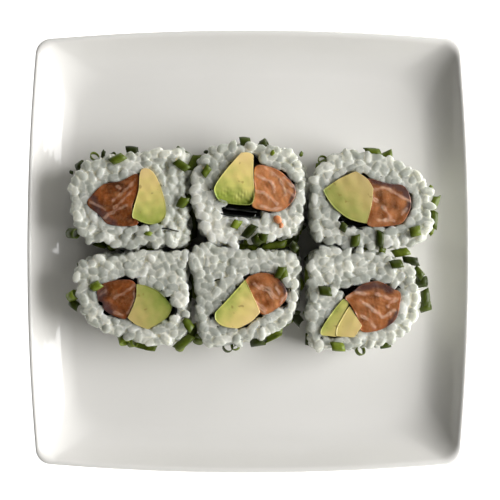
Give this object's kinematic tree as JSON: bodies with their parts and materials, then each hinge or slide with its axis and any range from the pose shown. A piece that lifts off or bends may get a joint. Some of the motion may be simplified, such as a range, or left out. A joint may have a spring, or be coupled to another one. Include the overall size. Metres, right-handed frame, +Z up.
{
  "type": "uramaki roll plate",
  "caption": "Cut pieces of salmon and avocado uramaki, rice outside with chives, standing in two rows on a square white porcelain plate.",
  "frame": {"origin": "bottom centre of the plate, on the surface it stands on", "axes": "+Z up, +X along the rows to the picture's right, +Y towards the far row"},
  "size_m": [0.18, 0.18, 0.0334],
  "materials": {
    "porcelain": "smooth white glaze",
    "rice": "moist cooked rice with green chives pressed on",
    "nori": "damp dark seaweed sheet",
    "salmon": "wet raw fish with pale fat lines",
    "avocado": "soft ripe flesh, yellow to green"
  },
  "bodies": {
    "root": {"plate": "porcelain", "roll_1_rice": "rice", "roll_1_nori": "nori", "roll_1_salmon": "salmon", "roll_1_avocado": "avocado", "roll_2_rice": "rice", "roll_2_nori": "nori", "roll_2_salmon": "salmon", "roll_2_avocado": "avocado", "roll_3_rice": "rice", "roll_3_nori": "nori", "roll_3_salmon": "salmon", "roll_3_avocado": "avocado", "roll_4_rice": "rice", "roll_4_nori": "nori", "roll_4_salmon": "salmon", "roll_4_avocado": "avocado", "roll_5_rice": "rice", "roll_5_nori": "nori", "roll_5_salmon": "salmon", "roll_5_avocado": "avocado", "roll_6_rice": "rice", "roll_6_nori": "nori", "roll_6_salmon": "salmon", "roll_6_avocado": "avocado", "roll_6_avocado_2": "avocado"}
  },
  "joints": []
}
